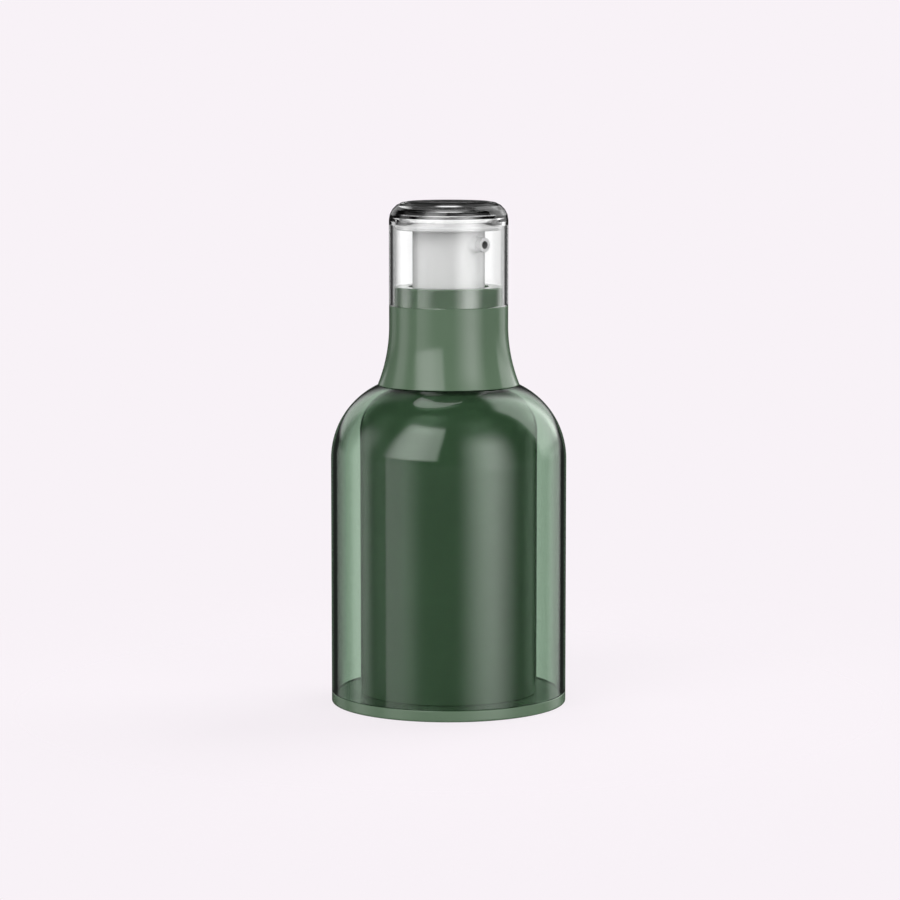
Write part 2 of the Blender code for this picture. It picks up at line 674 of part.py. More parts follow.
def make_actuator(paint):
    """Push button: domed head, skirt, ribbed hub with the stem's socket, and nozzle boss."""
    dome_z = HEAD_Z + HEAD_EDGE_H
    dome_r = (HEAD_R ** 2 + HEAD_RISE ** 2) / (2.0 * HEAD_RISE)
    dome_half = math.degrees(math.asin(HEAD_R / dome_r))
    low_edge = arc(HEAD_R - HEAD_EDGE_R, HEAD_Z + HEAD_EDGE_R, HEAD_EDGE_R, -90.0, 0.0, EDGE_STEPS)
    dome = arc(0.0, dome_z + HEAD_RISE - dome_r, dome_r, 90.0 - dome_half, 90.0, CORNER_STEPS)
    outline = [
        (0.0, HUB_Z),
        (HUB_R, HUB_Z),
        (HUB_R, HEAD_Z + ROOF_RISE),
        (SKIRT_IN_R, HEAD_Z + ROOF_RISE),
        (SKIRT_IN_R, SKIRT_Z),
        (SKIRT_R, SKIRT_Z),
        (SKIRT_R, HEAD_Z),
        *low_edge,
        *dome[:-1],
        (0.0, HEAD_TOP_Z),
    ]
    button = turned("actuator", outline, PUMP_SIDES, paint, SKIRT_Z)
    rib_h = HEAD_Z + ROOF_RISE + OVERRUN - RIB_Z
    rib_l = 2.0 * (SKIRT_IN_R + SKIRT_WALL / 2.0)
    for name, turn_by in (("rib_tool_a", 0.0), ("rib_tool_b", math.pi / 2.0)):
        rib = block(name, rib_l, RIB_WIDTH, rib_h, paint, RIB_Z)
        rib.rotation_euler.z = NOZZLE_TURN + turn_by
        shape_with(button, rib, "UNION")
    boss_end = NOZZLE_REACH - NOZZLE_TIP_L - SLIP
    duct = rod("duct_tool", PASSAGE_R + PASSAGE_WALL, SKIRT_R - SKIRT_WALL / 2.0, SMALL_SIDES,
               paint, NOZZLE_Z)
    lay_along_nozzle(duct, 0.0)
    shape_with(button, duct, "UNION")
    boss_root = SKIRT_R - SKIRT_WALL / 2.0
    boss = rod("boss_tool", BOSS_ROOT_R, boss_end - boss_root, SMALL_SIDES, paint, NOZZLE_Z,
               NOZZLE_TIP_R)
    lay_along_nozzle(boss, boss_root)
    shape_with(button, boss, "UNION")
    socket = rod("socket_tool", STEM_FIT_R, SOCKET_TOP_Z - HUB_Z + OVERRUN, SMALL_SIDES, paint,
                 HUB_Z - OVERRUN)
    shape_with(button, socket, "DIFFERENCE")
    riser = rod("riser_tool", STEM_BORE_R, NOZZLE_Z - SOCKET_TOP_Z + OVERRUN, SMALL_SIDES, paint,
                SOCKET_TOP_Z - OVERRUN)
    shape_with(button, riser, "DIFFERENCE")
    passage = rod("passage_tool", PASSAGE_R, boss_end + OVERRUN, SMALL_SIDES, paint, NOZZLE_Z)
    lay_along_nozzle(passage, 0.0)
    shape_with(button, passage, "DIFFERENCE")
    return button


def make_nozzle_insert(paint):
    """Spout tip: a plug in the boss, and a flange with a countersunk orifice."""
    plug_r = PASSAGE_R - SLIP
    mouth_z = NOZZLE_TIP_L - MOUTH_DEPTH
    outline = [
        (ORIFICE_R, -NOZZLE_PLUG_L),
        (plug_r, -NOZZLE_PLUG_L),
        (plug_r, 0.0),
        (NOZZLE_TIP_R, 0.0),
        (NOZZLE_TIP_R, NOZZLE_TIP_L - NOZZLE_EDGE),
        (NOZZLE_TIP_R - NOZZLE_EDGE, NOZZLE_TIP_L),
        (MOUTH_R, NOZZLE_TIP_L),
        (MOUTH_R, mouth_z),
        (ORIFICE_R, mouth_z),
    ]
    tip = turned("nozzle_insert", outline, SMALL_SIDES, paint)
    tip.location.z = NOZZLE_Z
    lay_along_nozzle(tip, NOZZLE_REACH - NOZZLE_TIP_L)
    return tip


def build():
    """Clear the scene and make every piece."""
    for old in list(bpy.data.objects):
        bpy.data.objects.remove(old, do_unlink=True)
    green = material("green_plastic", (0.109, 0.164, 0.117), 0.25)
    shell_tint = material("green_clear_plastic", (0.25, 0.42, 0.28), 0.05, transmission=0.9)
    clear = material("clear_plastic", (0.95, 0.95, 0.95), 0.03, transmission=0.95)
    white = material("white_plastic", (0.85, 0.85, 0.85), 0.3)
    natural = material("natural_plastic", (0.78, 0.78, 0.74), 0.4)
    soft_seal = material("seal_plastic", (0.7, 0.7, 0.68), 0.6)
    steel = material("spring_steel", (0.6, 0.6, 0.6), 0.25, metallic=1.0)
    make_base(green)
    make_inner_bottle(green)
    make_outer_shell(shell_tint)
    make_follower_piston(natural)
    make_snap_ferrule(natural)
    make_neck_gasket(soft_seal)
    make_collar(green)
    make_overcap(clear)
    make_pump_housing(natural)
    make_housing_cap(natural)
    make_dosing_piston(soft_seal)
    make_inlet_ball(steel)
    make_return_spring(steel)
    stem = make_pump_stem(natural)
    carry(make_piston_rod(natural), stem)
    button = make_actuator(white)
    carry(make_nozzle_insert(white), button)
    carry(button, stem)
    print("pump stroke %.1f mm, follower travel %.1f mm" % (STROKE / MM, FOLLOWER_TRAVEL / MM))


build()
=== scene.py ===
# %% [markdown]
# # Airless pump bottle
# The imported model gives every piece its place. This script dresses it: fine turned surfaces for
# the pieces that the eye sees, moulded plastic and steel finishes for all of them, a pale floor,
# soft studio light and the camera of the photograph. Sizes are in millimetres until the last step
# of each shape, because bottles are drawn in millimetres.

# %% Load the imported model
import math

import bpy
import numpy as np
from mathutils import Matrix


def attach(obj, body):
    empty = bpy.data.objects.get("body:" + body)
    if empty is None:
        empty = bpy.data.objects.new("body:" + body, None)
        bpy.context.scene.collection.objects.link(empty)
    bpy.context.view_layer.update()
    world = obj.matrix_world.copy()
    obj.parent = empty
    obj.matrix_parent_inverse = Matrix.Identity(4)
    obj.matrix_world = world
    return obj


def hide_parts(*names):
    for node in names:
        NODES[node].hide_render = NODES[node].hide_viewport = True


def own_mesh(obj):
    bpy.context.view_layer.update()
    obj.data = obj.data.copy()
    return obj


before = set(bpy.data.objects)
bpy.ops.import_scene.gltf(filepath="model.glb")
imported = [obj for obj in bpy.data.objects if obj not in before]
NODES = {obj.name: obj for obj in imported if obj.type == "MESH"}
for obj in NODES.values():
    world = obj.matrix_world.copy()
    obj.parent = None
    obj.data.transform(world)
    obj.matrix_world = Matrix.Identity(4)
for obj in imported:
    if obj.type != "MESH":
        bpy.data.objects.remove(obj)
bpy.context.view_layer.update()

MM = 0.001
SCENE = bpy.context.scene

# %% [markdown]
# ## Colours and nodes
# A screen colour such as #607660 is stored on a curve that suits the eye, but light adds up in
# straight numbers. Each colour is therefore written once as hex and made linear by one function.
# The room and the finishes are node trees. Writing each node by hand fills pages, and a picture
# of the pattern would be too coarse close up, so small helpers add one node each, set its options
# and fill its inputs with a value or a link.


# %% Colour and node helpers
def linear(hex_code):
    """The sRGB curve undone: v / 12.92 below 0.04045, else ((v + 0.055) / 1.055) to the 2.4."""
    v = np.array([int(hex_code[i:i + 2], 16) for i in (1, 3, 5)]) / 255.0
    return tuple(np.where(v <= 0.04045, v / 12.92, ((v + 0.055) / 1.055) ** 2.4)) + (1.0,)


def add_node(tree, kind, options=None, inputs=None):
    """Add a node to a tree. Options are its properties. Inputs are filled by name or number."""
    made = tree.nodes.new(kind)
    for name, value in (options or {}).items():
        setattr(made, name, value)
    for name, value in (inputs or {}).items():
        if isinstance(value, bpy.types.NodeSocket):
            tree.links.new(value, made.inputs[name])
        else:
            made.inputs[name].default_value = value
    return made


def calc(tree, operation, *values):
    """One Math node and its result."""
    made = add_node(tree, "ShaderNodeMath", {"operation": operation}, dict(enumerate(values)))
    return made.outputs[0]


def ramp(tree, value, start, end, low=0.0, high=1.0):
    """Smooth step of a value: low before start, high after end."""
    inputs = {"Value": value, "From Min": start, "From Max": end, "To Min": low, "To Max": high}
    options = {"interpolation_type": "SMOOTHSTEP", "clamp": True}
    return add_node(tree, "ShaderNodeMapRange", options, inputs).outputs["Result"]


PALE, PURE = linear("#F8F2F7"), linear("#FFFFFF")
print("backdrop, linear:", [round(float(c), 3) for c in PALE[:3]])

# %% [markdown]
# ## Camera
# The photograph was taken from a little above the bottle with a long lens. A fit to the outline
# of the body, the collar and the foot gave a 136 mm lens on a 36 mm sensor, 695 mm in front of the
# bottle's axis and 134 mm above the floor, tilted 6.7 degrees down. It stands 0.28 mm to the
# right of the axis, which puts the bottle just over a pixel left of the middle of the picture.

# %% Camera
FOCAL_LENGTH, SENSOR_WIDTH, TILT_DOWN = 136.0, 36.0, 6.68
CAMERA_SIDE, CAMERA_BACK, CAMERA_HEIGHT = 0.28, 694.8, 133.6
lens = bpy.data.cameras.new("camera")
lens.lens, lens.sensor_width = FOCAL_LENGTH, SENSOR_WIDTH
lens.clip_start, lens.clip_end = 0.01, 50.0
camera = bpy.data.objects.new("camera", lens)
camera.location = (CAMERA_SIDE * MM, -CAMERA_BACK * MM, CAMERA_HEIGHT * MM)
camera.rotation_euler = (math.radians(90.0 - TILT_DOWN), 0.0, 0.0)
SCENE.collection.objects.link(camera)
SCENE.camera = camera
print("camera distance %.3f m" % camera.location.length)

# %% [markdown]
# ## Studio
# Clear plastic shows its surroundings more than itself, so the room matters as much as the
# material. A real set would have white paper behind the bottle, dark flags round it and soft
# panels in front of them. Real panels could stand in the scene, but then they would light the
# floor and show in views from other sides. Painted on the world they only depend on a direction,
# written as an azimuth and an elevation in degrees. Azimuth 0 is towards the camera, and it is
# positive to the right.

# %% Directions
world = bpy.data.worlds.new("studio")
SCENE.world = world
world.use_nodes = True
sky = world.node_tree
sky.nodes.clear()
direction = add_node(sky, "ShaderNodeTexCoord").outputs["Generated"]
axes = add_node(sky, "ShaderNodeSeparateXYZ", None, {"Vector": direction})
towards = calc(sky, "MULTIPLY", axes.outputs["Y"], -1.0)
around = calc(sky, "ARCTAN2", axes.outputs["X"], towards)
azimuth = calc(sky, "MULTIPLY", around, math.degrees(1.0))
elevation = calc(sky, "MULTIPLY", calc(sky, "ARCSINE", axes.outputs["Z"]), math.degrees(1.0))
path = add_node(sky, "ShaderNodeLightPath")
print("nodes that find the direction:", len(sky.nodes))

# %% [markdown]
# ## Cards
# Each card is a rectangle with soft edges. A picture of a studio would be heavier and could not be
# tuned, while a card of a few numbers is laid where its highlight has to lie: on a round wall
# that is at half the card's azimuth. The cards in front are bright, because smooth plastic
# reflects only a twenty-fifth of what falls straight on it.


# %% Cards
CARD_SIDES, CARD_TOP, CARD_SOFT, DEEP_RISE = (160.0, 174.0), 1.0, 2.5, 13.0


def patch(azimuths, elevations, soft_az, soft_el, level, lean=0.0):
    """A soft rectangle on the sky: four smooth steps multiplied, times its level.

    Each step is centred on a limit and reaches as far to both sides of it as its softness. The
    upright sides lean to the right by lean degrees for each degree above the lower edge.
    """
    area = level
    upright = azimuth
    if lean != 0.0:
        above = calc(sky, "SUBTRACT", elevation, elevations[0])
        upright = calc(sky, "MULTIPLY_ADD", above, -lean, azimuth)
    for value, limits, soft in ((upright, azimuths, soft_az), (elevation, elevations, soft_el)):
        rise = ramp(sky, value, limits[0] - soft[0], limits[0] + soft[0])
        fall = ramp(sky, value, limits[1] - soft[1], limits[1] + soft[1], 1.0, 0.0)
        area = calc(sky, "MULTIPLY", fall, calc(sky, "MULTIPLY", rise, area))
    return area


def white_card(level):
    """Low card behind the bottle, only for rays that have crossed a clear surface.

    Its top is at CARD_TOP, or DEEP_RISE higher for rays that have crossed three surfaces or more.
    """
    crossed = path.outputs["Transmission Depth"]
    top = calc(sky, "MULTIPLY_ADD", calc(sky, "GREATER_THAN", crossed, 2.5), DEEP_RISE, CARD_TOP)
    below = ramp(sky, calc(sky, "SUBTRACT", elevation, top), -CARD_SOFT, 0.0, 1.0, 0.0)
    card = calc(sky, "MULTIPLY", ramp(sky, calc(sky, "ABSOLUTE", azimuth), *CARD_SIDES), below)
    entered = calc(sky, "GREATER_THAN", crossed, 0.5)
    return calc(sky, "MULTIPLY", calc(sky, "MULTIPLY", card, entered), level)


# Azimuths, elevations, softness of the upright and of the level edges, brightness, lean.
PATCHES = [
    # Panel in front on the left: the clear-cut light on shoulder and collar, softer on its right.
    ((-65.0, -12.0), (8.5, 55.0), (6.0, 3.0), (1.5, 4.0), 2.45, 0.17),
    ((-56.0, -26.0), (8.5, 55.0), (10.0, 14.0), (1.5, 4.0), 1.2, 0.17),
    # What the table returns of it: the upright band down the body on the left.
    ((-64.0, -38.0), (-14.0, 8.0), (1.0, 16.0), (6.0, 1.5), 1.2),
    # Two weaker panels further round to the left: soft bands near the left edge.
    ((-108.0, -84.0), (-14.0, 30.0), (8.0, 9.0), (6.0, 10.0), 1.15),
    ((-141.0, -122.0), (-14.0, 2.0), (4.0, 5.0), (6.0, 3.0), 0.35),
    # Big panel in front on the right: the broad soft light down the right of the body.
    ((25.0, 60.0), (-12.0, 36.0), (20.0, 16.0), (10.0, 14.0), 3.3),
    # The table's own faint light, all round the front.
    ((-100.0, 100.0), (-14.0, 2.0), (10.0, 10.0), (6.0, 3.0), 0.1),
    # Panel behind on the right, seen low in the body's edge and high in the right shoulder.
    ((116.0, 141.0), (-14.0, 2.0), (7.0, 5.0), (6.0, 3.0), 0.95),
    ((103.0, 149.0), (4.0, 60.0), (3.0, 6.0), (8.0, 4.0), 1.8),
    # Backdrop seen past the dark flags, on the right and on the left: the pale shoulder edges.
    ((140.0, 165.0), (5.0, 34.0), (6.0, 6.0), (2.0, 6.0), 0.9),
    ((140.0, 172.0), (34.0, 58.0), (8.0, 6.0), (6.0, 6.0), 0.4),
    ((-165.0, -138.0), (5.0, 34.0), (6.0, 6.0), (2.0, 6.0), 0.8),
    ((-172.0, -138.0), (34.0, 58.0), (6.0, 8.0), (6.0, 6.0), 0.25),
]
DARK_ROOM, WHITE_CARD = 0.035, 1.05
light = calc(sky, "ADD", DARK_ROOM, white_card(WHITE_CARD))
for card in PATCHES:
    light = calc(sky, "ADD", light, patch(*card))
print("cards: %d in the room and one behind the bottle" % len(PATCHES))

# %% [markdown]
# ## What each ray meets
# One sky can't serve the backdrop, the glassy walls and the matt plastic alike, so what a ray
# meets depends on its path:
#
# - straight to the backdrop: the flat pale colour;
# - only through clear walls: plain white, which is also what lights the matt surfaces;
# - after a reflection: the dark room with its cards.
#
# A ray has only gone through walls when all of its bounces were transmissions.

# %% Rays
room = add_node(sky, "ShaderNodeBackground", None, {"Color": PURE, "Strength": light})
plain = add_node(sky, "ShaderNodeBackground", None, {"Color": PALE, "Strength": 1.0})
white = add_node(sky, "ShaderNodeBackground", None, {"Color": PURE, "Strength": 1.0})
bounces, crossings = path.outputs["Ray Depth"], path.outputs["Transmission Depth"]
straight = calc(sky, "COMPARE", bounces, crossings, 0.5)
through = add_node(sky, "ShaderNodeMixShader", None,
                   {0: straight, 1: room.outputs[0], 2: white.outputs[0]})
seen = add_node(sky, "ShaderNodeMixShader", None,
                {0: path.outputs["Is Camera Ray"], 1: through.outputs[0], 2: plain.outputs[0]})
add_node(sky, "ShaderNodeOutputWorld", None, {"Surface": seen.outputs[0]})
print("world nodes:", len(sky.nodes))

# %% [markdown]
# ## Lamps
# Two big soft lamps, above and behind the right shoulder, shape the matt plastic. A lamp that the
# eye sees as a shape in the gloss has to be as bright there as its picture is, which is too little
# for the matt surfaces, so each has a twin or a patch: one is seen in the gloss, one only lights.


# %% Lamps
LAMP_DISTANCE, AIM_HEIGHT = 3.0, 0.05


def softbox(name, az, el, width, height, radiance, shape="RECTANGLE", mirrored=False):
    """Area lamp that faces the bottle. Its power is pi * width * height * radiance.

    That gives a rectangle the radiance itself, and an ellipse 4 / pi times as much.
    """
    lamp = bpy.data.lights.new(name, "AREA")
    lamp.shape, lamp.size, lamp.size_y = shape, width, height
    lamp.energy = math.pi * width * height * radiance
    holder = bpy.data.objects.new(name, lamp)
    a, e = math.radians(az), math.radians(el)
    out = np.array([math.sin(a) * math.cos(e), -math.cos(a) * math.cos(e), math.sin(e)])
    holder.location = out * LAMP_DISTANCE + np.array([0.0, 0.0, AIM_HEIGHT])
    holder.rotation_euler = (math.radians(90.0 - el), 0.0, a)
    holder.visible_camera = False
    holder.visible_glossy = mirrored
    holder.visible_transmission = mirrored
    SCENE.collection.objects.link(holder)
    print("%s: %.2f by %.2f m, radiance %.1f" % (name, width, height, radiance))


softbox("softbox_top", -153.0, 76.0, 1.5, 1.3, 1.6, "ELLIPSE", True)
softbox("softbox_top_fill", -153.0, 76.0, 1.5, 1.3, 1.5, "ELLIPSE")
softbox("softbox_back_right", 126.0, 33.0, 2.5, 3.6, 1.8)

# %% [markdown]
# ## Floor
# The floor is a pale disc of matt paper. Its edge melts into the backdrop so that no line crosses
# the picture, and the camera sees mostly its own flat colour with a share of its lit surface mixed
# in, which keeps the soft shadow of the bottle.


# %% Floor
FLOOR_R, FLOOR_DROP, FADE_FROM, FADE_TO, FLAT_SHARE = 200.0, 0.02, 50.0, 160.0, 0.85


def floor_material():
    """Painted paper sweep: matt, pale, fading out with the distance from the middle."""
    made = bpy.data.materials.new("paper_sweep")
    made.use_nodes = True
    tree = made.node_tree
    tree.nodes.clear()
    place = add_node(tree, "ShaderNodeTexCoord").outputs["Object"]
    reach = add_node(tree, "ShaderNodeVectorMath", {"operation": "LENGTH"}, {0: place})
    fade = ramp(tree, reach.outputs["Value"], FADE_FROM * MM, FADE_TO * MM, 1.0, 0.0)
    paper = add_node(tree, "ShaderNodeBsdfDiffuse", None, {"Color": PALE})
    glow = add_node(tree, "ShaderNodeEmission", None, {"Color": PALE, "Strength": 1.0})
    kind = add_node(tree, "ShaderNodeLightPath")
    seen_flat = calc(tree, "MULTIPLY", kind.outputs["Is Camera Ray"], FLAT_SHARE)
    sheet = add_node(tree, "ShaderNodeMixShader", None,
                     {0: seen_flat, 1: paper.outputs[0], 2: glow.outputs[0]})
    nothing = add_node(tree, "ShaderNodeBsdfTransparent")
    ends = add_node(tree, "ShaderNodeMixShader", None,
                    {0: fade, 1: nothing.outputs[0], 2: sheet.outputs[0]})
    add_node(tree, "ShaderNodeOutputMaterial", None, {"Surface": ends.outputs[0]})
    return made


def disc(name, radius, rings, turns):
    """Flat disc: rings of points at radius times i / rings, and one point in the middle."""
    r = np.repeat(np.linspace(radius / rings, radius, rings), turns)
    a = np.tile(np.arange(turns) * math.tau / turns, rings)
    points = np.column_stack([r * np.cos(a), r * np.sin(a), np.zeros(len(r))])
    points = np.vstack([points, [[0.0, 0.0, 0.0]]])
    i, j = np.meshgrid(np.arange(rings - 1), np.arange(turns), indexing="ij")
    k = (j + 1) % turns
    quads = np.stack([i * turns + j, (i + 1) * turns + j, (i + 1) * turns + k, i * turns + k], -1)
    t = np.arange(turns)
    middle = np.column_stack([np.full(turns, rings * turns), t, (t + 1) % turns])
    mesh = bpy.data.meshes.new(name)
    mesh.from_pydata(points, [], quads.reshape(-1, 4).tolist() + middle.tolist())
    made = bpy.data.objects.new(name, mesh)
    SCENE.collection.objects.link(made)
    return made


floor = disc("floor", FLOOR_R * MM, 8, 64)
floor.location.z = -FLOOR_DROP * MM
floor.data.materials.append(floor_material())
floor.visible_glossy = False
floor.visible_transmission = False
print("floor faces:", len(floor.data.polygons))

# %% [markdown]
# ## Turned surfaces
# Every piece of the bottle but the spout is round, so its surface is one outline spun round the
# upright axis. The outline is a short list of corners with a fillet radius each, because moulded
# plastic has no knife edges and a fillet is what catches the light. A Bevel modifier would round
# the corners too, but the fillets of an outline stay exact and cost few faces.


# %% Arcs and fillets
def arc(centre, radius, start, end, steps):
    """Points on a circle: centre plus radius times (cos, sin), angles in degrees."""
    a = np.radians(np.linspace(start, end, steps + 1))
    points = np.column_stack([centre[0] + radius * np.cos(a), centre[1] + radius * np.sin(a)])
    return np.column_stack([points, np.zeros(len(a))])


def rounded(rows, steps=5):
    """Outline of rows (r, z, fillet) with each corner replaced with an arc.

    The arc touches both sides at fillet / tan(half the corner's angle) from the corner, and its
    points are the two end spokes mixed by sin((1 - s) f) / sin f and sin(s f) / sin f.
    """
    rows = np.vstack([np.atleast_2d(np.asarray(row, float)) for row in rows])
    on_axis = rows[0, 0] == 0.0 and rows[-1, 0] == 0.0
    out = []
    for i, (r, z, fillet) in enumerate(rows):
        here = np.array([r, z])
        if fillet == 0.0 or (on_axis and i in (0, len(rows) - 1)):
            out.append(here[None])
            continue
        back = rows[i - 1, :2] - here
        ahead = rows[(i + 1) % len(rows), :2] - here
        back, ahead = back / np.linalg.norm(back), ahead / np.linalg.norm(ahead)
        half = math.acos(np.clip(back @ ahead, -1.0, 1.0)) / 2.0
        middle = (back + ahead) / np.linalg.norm(back + ahead)
        centre = here + middle * fillet / math.sin(half)
        first = here + back * fillet / math.tan(half) - centre
        last = here + ahead * fillet / math.tan(half) - centre
        sweep = math.pi - 2.0 * half
        s = np.linspace(0.0, 1.0, steps + 1)[:, None]
        mixed = np.sin((1.0 - s) * sweep) * first + np.sin(s * sweep) * last
        out.append(centre + mixed / math.sin(sweep))
    return np.vstack(out)


square = [(1.0, 0.0, 0.0), (2.0, 0.0, 0.2), (2.0, 1.0, 0.0), (1.0, 1.0, 0.0)]
print("a square with one fillet has %d points" % len(rounded(square)))

# %% [markdown]
# ## Straights that stay flat
# Smooth shading turns evenly from one point to the next, so on a long straight beside a fillet it
# would spread the fillet's turn over the flat. Marking sharp edges would cut the light off hard.
# Two more points close to the ends of each long straight hold the turn where the fillet is.


# %% Holding points
def held(outline, closed, reach=0.06):
    """Add two points to each long segment, at a small distance from its ends."""
    ends = np.roll(outline, -1, axis=0)
    if not closed:
        ends = ends[:-1]
    starts = outline[:len(ends)]
    length = np.linalg.norm(ends - starts, axis=1)
    share = np.where(length > 5.0 * reach, reach / np.maximum(length, 1e-9), np.nan)[:, None]
    stack = np.stack([starts, starts + (ends - starts) * share, ends - (ends - starts) * share], 1)
    flat = stack.reshape(-1, 2)
    flat = flat[~np.isnan(flat[:, 0])]
    return flat if closed else np.vstack([flat, outline[-1:]])


print("the same square held has %d points" % len(held(rounded(square)[:, :2], True)))

# %% [markdown]
# ## Spinning
# The spun outline becomes a grid of quads with a fan of triangles at each pole, all facing
# outwards. A Screw modifier spins too, but arrays of points are quicker and more even here, and
# they keep the count of faces known.


# %% Spinning an outline
def grid_faces(rows, turns, closed):
    """Quads between neighbouring rows of a grid that is closed round the axis."""
    last = rows if closed else rows - 1
    i, j = np.meshgrid(np.arange(last), np.arange(turns), indexing="ij")
    n, k = (i + 1) % rows, (j + 1) % turns
    return np.stack([i * turns + j, i * turns + k, n * turns + k, n * turns + j], -1).reshape(-1, 4)


def turned_mesh(outline, turns):
    """Vertices and faces of an outline in millimetres spun round Z: (r cos a, r sin a, z).

    An outline that starts and ends on the axis gets one point at each pole and a fan of
    triangles there. Any other outline is a loop and gives a ring.
    """
    on_axis = outline[0, 0] == 0.0 and outline[-1, 0] == 0.0
    rim = held(outline, not on_axis)
    body = rim[1:-1] if on_axis else rim
    a = np.arange(turns) * math.tau / turns
    x = body[:, :1] * np.cos(a)
    y = body[:, :1] * np.sin(a)
    z = np.broadcast_to(body[:, 1:], x.shape)
    points = np.stack([x, y, z], -1).reshape(-1, 3) * MM
    faces = grid_faces(len(body), turns, not on_axis).tolist()
    if on_axis:
        poles = np.array([[0.0, 0.0, rim[0, 1]], [0.0, 0.0, rim[-1, 1]]]) * MM
        first, t = len(points), np.arange(turns)
        points = np.vstack([points, poles])
        end = (len(body) - 1) * turns
        low = np.column_stack([np.full(turns, first), (t + 1) % turns, t])
        high = np.column_stack([np.full(turns, first + 1), end + t, end + (t + 1) % turns])
        faces += low.tolist() + high.tolist()
    return points, faces


print("spun in 8 steps it has %d faces" % len(turned_mesh(rounded(square)[:, :2], 8)[1]))

# %% [markdown]
# ## From surface to piece
# A surface becomes a piece when it gets its plastic, rides on its body of the imported model and
# stands for the plain solid of the same part. It could be parented by hand, but these calls also
# hide the solid.


# %% Pieces
def new_piece(name, points, faces, paint, body, slot, nodes):
    """Put a surface into the scene: smooth, painted, riding on its body, standing for its node."""
    mesh = bpy.data.meshes.new(name)
    mesh.from_pydata(points, [], faces)
    mesh.validate()
    mesh.shade_smooth()
    mesh.materials.append(paint)
    made = bpy.data.objects.new(name, mesh)
    SCENE.collection.objects.link(made)
    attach(made, body)
    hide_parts(*nodes)
    tall = points[:, 2].max() - points[:, 2].min()
    print("%s: %d faces, %.2f mm high" % (name, len(faces), tall / MM))
    return made


def joined(*surfaces):
    """Several closed surfaces as one: each one's face numbers move up by the points before it."""
    points = np.vstack([p for p, _ in surfaces])
    starts = np.cumsum([0] + [len(p) for p, _ in surfaces[:-1]])
    faces = [[int(v) + int(n) for v in face]
             for (_, own), n in zip(surfaces, starts) for face in own]
    return points, faces


def turned(name, rows, paint, body, slot, nodes, turns=256):
    """A finished piece from the rows of its outline, drawn counter-clockwise in (r, z)."""
    points, faces = turned_mesh(rounded(rows), turns)
    return new_piece(name, points, faces, paint, body, slot, nodes)


# %% [markdown]
# ## Patterns
# What breaks up a plain surface is worked out from the place on the piece, so that it moves with
# the piece and fits at any size. Picture textures would blur close up. One noise serves for all
# of it: broad it is a cloud of pigment, small it is wear, and stretched it is a scuff.


# %% Patterns
def principled(name, inputs):
    """A new material, its tree and its Principled shader, with the given constants set on it."""
    made = bpy.data.materials.new(name)
    made.use_nodes = True
    shader = made.node_tree.nodes["Principled BSDF"]
    for socket, value in inputs.items():
        shader.inputs[socket].default_value = value
    return made, made.node_tree, shader


def clouds(tree, size, detail=2.0, stretch=(1.0, 1.0, 1.0)):
    """Noise between 0 and 1 with lumps of about the size in millimetres, fixed to the piece."""
    place = add_node(tree, "ShaderNodeTexCoord").outputs["Object"]
    stretched = add_node(tree, "ShaderNodeMapping", None, {"Vector": place, "Scale": stretch})
    inputs = {"Vector": stretched.outputs[0], "Scale": 1.0 / (size * MM), "Detail": detail}
    return add_node(tree, "ShaderNodeTexNoise", None, inputs).outputs[0]


def blend(tree, share, first, second):
    """Mix of two colours by a share between 0 and 1."""
    inputs = {0: share, 6: first, 7: second}
    return add_node(tree, "ShaderNodeMix", {"data_type": "RGBA"}, inputs).outputs[2]


def shade(colour, factor):
    """A linear colour times a factor, held at 1."""
    return tuple(min(float(channel) * factor, 1.0) for channel in colour[:3]) + (1.0,)


def waves(tree, shader, size, height):
    """Bump of waves, their width and height in millimetres."""
    waved = {"Distance": height * MM, "Height": clouds(tree, size)}
    bump = add_node(tree, "ShaderNodeBump", None, waved)
    tree.links.new(bump.outputs[0], shader.inputs["Normal"])


print("a green 5% lighter:", [round(c, 3) for c in shade(linear("#607660"), 1.05)[:3]])

# %% [markdown]
# ## Opaque plastics
# The collar, the inner bottle and the base are injection-moulded polypropylene with green pigment
# in the mass, and the push button is the same with white pigment. Three things break up the flat
# colour of a real moulding: the pigment flows in broad soft clouds, the gloss of the mould changes
# from place to place, and outward edges are rubbed paler and duller in handling. A polished steel
# mould also leaves a very fine orange peel. A plain colour with one roughness would be quicker,
# but it looks like a drawing of plastic. The real peel is a few hundredths of a millimetre wide
# and would only make grain, so it is drawn as waves of a millimetre.

# %% Moulded plastic
# Widths of the patterns in millimetres, and the height of the peel.
PIGMENT, WEAR, GLOSS, SCUFF, PEEL, PEEL_HEIGHT = 14.0, 1.5, 4.0, 0.3, 1.2, 0.0006
WORN_ROUGHER, SCUFFS_ROUGHER, WORN_PALER = 0.12, 0.06, 1.6
UPRIGHT = (1.0, 1.0, 0.04)


